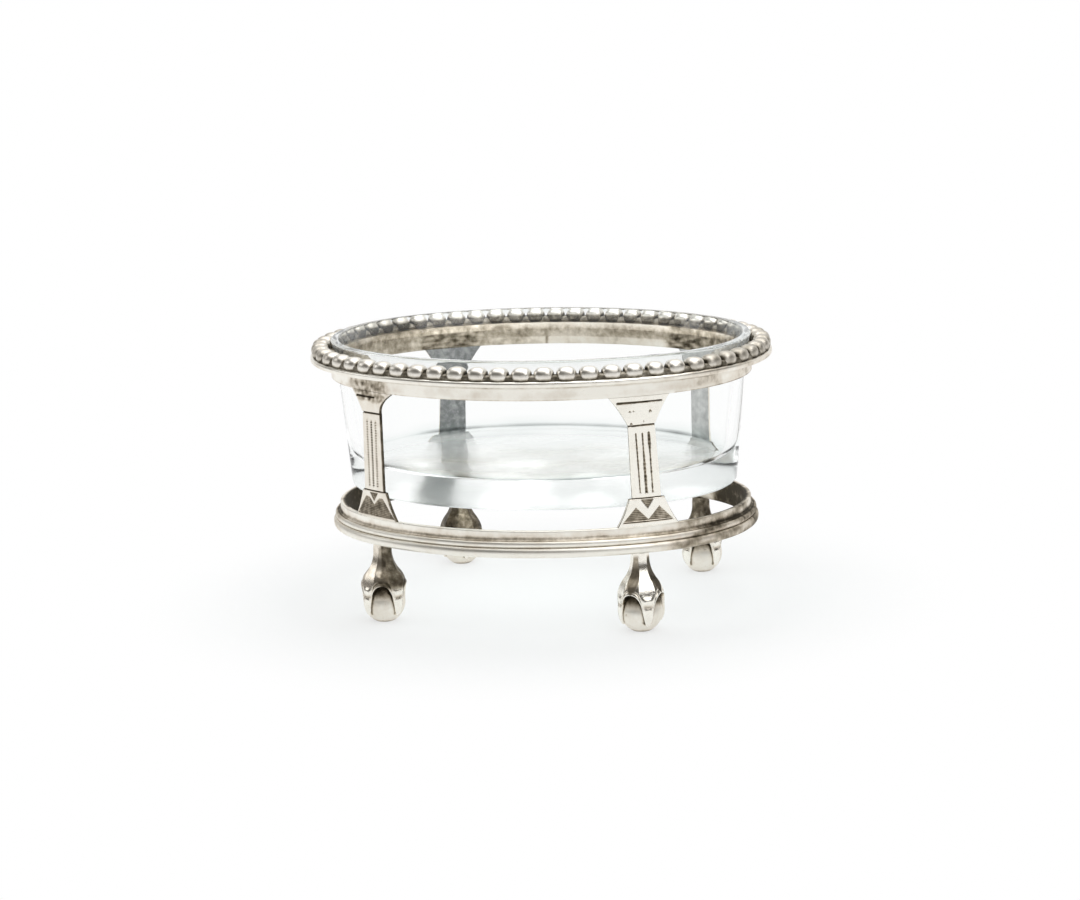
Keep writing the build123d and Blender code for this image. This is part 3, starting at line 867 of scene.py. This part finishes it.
def claw_tarnish_and_shade(corner, side, right):
    """Tarnish and painted shade of a claw above its talons, from its flanks' share and that of its right-hand side;
    painted shade darkens the flanks and the right-hand side.
    """
    if corner == "front_left":
        return lerp(0.26 + 0.14 * side, 0.72, right)
    if corner == "front_right":
        return lerp(0.5, 0.75, right) * side
    return 0.72


def claw_skin(corner, right, off, low, z):
    """Radius and grime-and-shade value of a claw's outside: facets above, a raised rim and a groove round each arch,
    and a painted shadow under the knuckle.
    """
    ridge = bell(z)
    face = ridge * FACET / math.cos(math.radians(off))
    flank = ridge * FACET * float(np.interp(z, *zip(*FLANK))) / math.cos(math.radians(45 - off))
    faceted = smooth(5.6, 6.7, z) * smooth(13.4, 12.6, z)
    r = min(lerp(ridge, min(face, flank, ridge * 1.035), faceted), TALON_R + 0.04)
    gap = z - low
    rim = hump(gap, 0.22, 0.2) * smooth(7.6, 6.9, z)
    groove = hump(gap, 0.75, 0.25) * smooth(12, 26, off) * smooth(7.8, 7.0, z)
    knuckle = hump(z, 5.7, 0.6) * hump(off, 0.0, 15.0)
    # Undercut under the knuckle, with a painted shadow in it.
    below = hump(z, 4.75, 0.3) * smooth(20, 8, off)
    r = min(r + 0.05 * rim - 0.10 * groove + 0.1 * knuckle - 0.16 * below, TALON_R + 0.05)
    side = smooth(-0.01, 0.03, (face - flank) / ridge) * faceted
    # Tarnish together with painted shade on the flanks and the right-hand side.
    tarnish_and_shade = claw_tarnish_and_shade(corner, side, right) * smooth(5.6, 6.9, z)
    return r, 0.04 + tarnish_and_shade + 0.45 * groove + 0.45 * below


def claw(corner):
    """Claw whose four ridges run down from the neck into talons, with flanks darkened by tarnish and painted shade,
    and round arches between.
    """
    cx, cy, heading = foot_place(corner)
    columns, rows = 176, 72
    verts, grime_and_shade, edges = [], [], []
    for column in range(columns):
        turn = TAU * column / columns
        off = from_talon(turn)
        edges.append((turn, off, float(np.interp(45 - off, *zip(*ARCH)))))

    def put(turn, z, r, dirt_and_shade):
        verts.append((cx + r * math.cos(heading + turn), cy + r * math.sin(heading + turn), z))
        grime_and_shade.append(min(1.0, dirt_and_shade))

    for row in range(rows + 1):
        for turn, off, low in edges:
            # Share of the right-hand side, which is darkened in painted shade.
            right = smooth(0.05, 0.3, math.cos(heading + turn))
            z = lerp(FOOT_Z, low, (row / rows) ** 0.85)
            put(turn, z, *claw_skin(corner, right, off, low, z))

    # The hollow above the ball, from the arches' edges inwards, darkened in painted shade
    thick, least, rise, dirt_and_shade = 1.1, 0.4, 0.35, 0.25
    for sink, lift in ((0.35, 0.0), (0.85, 0.12), (thick, rise)):
        for turn, _, low in edges:
            put(turn, low + lift * smooth(1.5, 4.5, low), max(bell(low) - sink, least), dirt_and_shade)
    for share in (0.66, 0.33):
        for turn, _, low in edges:
            put(turn, lerp(CEILING_Z, low + rise, share), max(bell(low) - thick, least) * share, dirt_and_shade)
    name = "claw_" + corner
    faces = ring_faces(len(verts) // columns, columns)
    add_piece(name + "_dressed", verts, faces, grime_and_shade, silver_cast, "frame", [name], 50)


# Liner: levels, taper, clearance in the flange, thickness at the lip and the foot, and width of the well's
# rounded margin
LIP_Z = 47.2
LINER_Z = 21.05
WELL_Z = 25.55
LINER_TAPER = 0.08573
LINER_FIT = 0.15
LIP_WALL = 1.5
LINER_WALL = 2.2
WELL_MARGIN = 3.3
LINER_LINE = 36.0


def glass_liner():
    """Tapered glass wall with a flared lip, on a thick base that is not quite level inside."""
    seat = SEAT - LINER_FIT
    lip = seat + (LIP_Z - FLANGE_Z) * SEAT_SLOPE
    foot = seat - (FLANGE_Z - LINER_Z) * LINER_TAPER
    inner = foot + (WELL_Z - LINER_Z) * LINER_TAPER - LINER_WALL
    edge = inner - WELL_MARGIN
    corners = [
        (edge, LINER_Z, 0), (foot, LINER_Z, 0), (seat, FLANGE_Z, 0), (lip, LIP_Z, 0),
        (lip - LIP_WALL, LIP_Z, 0), (seat - LIP_WALL, FLANGE_Z, 0), (inner, WELL_Z, 0), (edge, WELL_Z, 0),
    ]
    section = divided(rounded(corners, (0, 0.8, 6.0, 0.35, 0.35, 6.0, 2.5, 0), 10), 1.0)
    last = next(k for k, (a, z, _) in enumerate(section) if abs(a - edge) < 1e-6 and abs(z - WELL_Z) < 1e-6)
    count, rings = 360, 16
    angles = stations(count, LINER_LINE)
    rims = [oval_point(edge, angle) for angle in angles]
    verts, shade_lines = [], []

    def put(x, y, z, shade_line=0.0):
        bottom, top = smooth(22.0, LINER_Z, z), smooth(26.0, 25.5, z) * smooth(24.0, 25.5, z)
        dz = 0.16 * top * wave(x * 0.13, y * 0.13, 2.0) + 0.03 * bottom * (1 + wave(x * 0.07, y * 0.07, 5.0))
        verts.append((x, y, z + dz))
        shade_lines.append(shade_line)

    for share in range(1, rings):
        for x, y in rims:
            put(x * share / rings, y * share / rings, LINER_Z)
    for a, z, _ in section[: last + 1]:
        # Painted shade lines along the inner floor's edge, the heel and the lip, fainter towards the ends.
        corner = hump(math.hypot(a - inner + 0.9, z - WELL_Z - 0.6), 0.0, 0.5)
        heel = 0.3 * hump(math.hypot(a - foot, z - LINER_Z), 0.0, 0.8)
        rim = 0.42 * smooth(LIP_Z - 0.75, LIP_Z - 0.15, z)
        below_lip = smooth(LIP_Z - 2, LIP_Z - 3, z)
        for angle in angles:
            x, y = oval_point(a, angle)
            put(x, y, z, max(corner, heel, rim) * (1 - 0.6 * smooth(24.0, 31.0, abs(x)) * below_lip))
    for share in range(rings - 1, 0, -1):
        for x, y in rims:
            put(x * share / rings, y * share / rings, WELL_Z)
    top_ring = len(verts) - count
    faces = ring_faces(len(verts) // count, count, capped=False)
    put(0, 0, LINER_Z)
    put(0, 0, WELL_Z)
    for column in range(count):
        on = (column + 1) % count
        faces.append((len(verts) - 2, on, column))
        faces.append((len(verts) - 1, top_ring + column, top_ring + on))
    add_piece("glass_liner_dressed", verts, faces, shade_lines, liner_glass, "liner", ["glass_liner"], 70)


upper_band()
rim_flange()
bead_border()
lower_band()
base_moulding()
glass_liner()
for corner in CORNERS:
    pilaster(corner)
    ball(corner)
    claw(corner)


# Studio, in metres: pale floor, soft lamps, white surroundings
FLOOR_HALF = 8.0
LAMP_TARGET = (0, 0, 0.03)


def floor():
    """Matte floor that catches the soft shadows near the feet and runs out into white."""
    mesh = bpy.data.meshes.new("floor")
    corners = [(x * FLOOR_HALF, y * FLOOR_HALF, 0) for x, y in ((-1, -1), (1, -1), (1, 1), (-1, 1))]
    mesh.from_pydata(corners, [], [(0, 1, 2, 3)])
    plane = bpy.data.objects.new("floor", mesh)
    bpy.context.scene.collection.objects.link(plane)
    material, n = new_material("floor_white")
    path = n.add("ShaderNodeLightPath")
    seen = n.math("MAXIMUM", path.outputs["Is Camera Ray"], path.outputs["Is Glossy Ray"])
    seen = n.math("MAXIMUM", seen, path.outputs["Is Transmission Ray"])
    away = n.add("ShaderNodeVectorMath", {"operation": "LENGTH"})
    n.put(away, 0, n.add("ShaderNodeTexCoord").outputs["Object"])
    far = n.ranged(away.outputs["Value"], 0.04, 0.075, 0.66, 1.0)
    matte = n.add("ShaderNodeBsdfDiffuse", Color=(0.76, 0.80, 0.80, 1.0))
    glow = n.add("ShaderNodeEmission", Color=(1.0, 1.0, 1.0, 1.0), Strength=1.0)
    mixed = n.mix(n.math("MULTIPLY", seen, far), matte, glow)
    n.put(n.add("ShaderNodeOutputMaterial"), "Surface", mixed.outputs[0])
    mesh.materials.append(material)


def world():
    """White to the eye and through glass; to the silver, a dim room that is bright behind and above."""
    made = bpy.data.worlds.new("studio")
    bpy.context.scene.world = made
    made.use_nodes = True
    n = Nodes(made.node_tree)
    path = n.add("ShaderNodeLightPath")
    seen = n.math("MAXIMUM", path.outputs["Is Camera Ray"], path.outputs["Is Transmission Ray"])
    way = n.add("ShaderNodeSeparateXYZ", Vector=n.add("ShaderNodeTexCoord").outputs["Generated"])
    behind = n.ranged(way.outputs["Y"], 0.3, 0.75)
    above = n.ranged(way.outputs["Z"], 0.6, 0.88)
    bright = n.math("MAXIMUM", behind, above)
    room = n.ramp(bright, [(0.0, (0.08, 0.072, 0.062)), (0.5, (0.42, 0.41, 0.39)), (1.0, (0.9, 0.9, 0.9))])
    mixed = n.add("ShaderNodeMix", {"data_type": "RGBA"})
    for place, value in ((0, seen), (6, room), (7, (1.0, 1.0, 1.0, 1.0))):
        n.put(mixed, place, value)
    background = n.add("ShaderNodeBackground", Strength=1.0, Color=mixed.outputs[2])
    n.put(n.add("ShaderNodeOutputWorld"), "Surface", background.outputs[0])


def lamp(name, place, size, power):
    """Soft rectangular lamp, turned to the middle of the part."""
    light = bpy.data.lights.new(name, "AREA")
    light.shape, light.size, light.size_y = "RECTANGLE", size[0], size[1]
    light.energy = power
    holder = bpy.data.objects.new(name, light)
    holder.location = place
    holder.rotation_mode = "QUATERNION"
    holder.rotation_quaternion = (Vector(LAMP_TARGET) - Vector(place)).to_track_quat("-Z", "Y")
    bpy.context.scene.collection.objects.link(holder)


floor()
world()
lamp("top", (0.05, 0.1, 0.95), (1.3, 1.0), 4.6)
lamp("key", (0.65, -0.5, 0.7), (0.8, 0.8), 3.0)
lamp("fill", (-0.95, -0.08, 0.46), (0.5, 0.4), 1.0)

# Camera at the photograph's angle, fitted to it; the focal length is in pixels of the photograph
PHOTO_WIDTH = 1080
yaw, elevation, roll = math.radians(16.383), math.radians(10.984), math.radians(1.88)
distance, across, height, focal = 582.42, -0.561, 26.246, 3289.87
back = Vector((math.sin(yaw) * math.cos(elevation), -math.cos(yaw) * math.cos(elevation), math.sin(elevation)))
target = Vector((across * math.cos(yaw), across * math.sin(yaw), height))
data = bpy.data.cameras.new("camera")
data.sensor_fit, data.sensor_width = "HORIZONTAL", 36.0
data.lens = focal * data.sensor_width / PHOTO_WIDTH
data.clip_start, data.clip_end = 0.01, 50.0
camera = bpy.data.objects.new("camera", data)
camera.matrix_world = (
    Matrix.Translation((target + back * distance) * MM)
    @ (-back).to_track_quat("-Z", "Y").to_matrix().to_4x4()
    @ Matrix.Rotation(-roll, 4, "Z")
)
bpy.context.scene.collection.objects.link(camera)
bpy.context.scene.camera = camera
bpy.context.scene.view_settings.view_transform = "Standard"
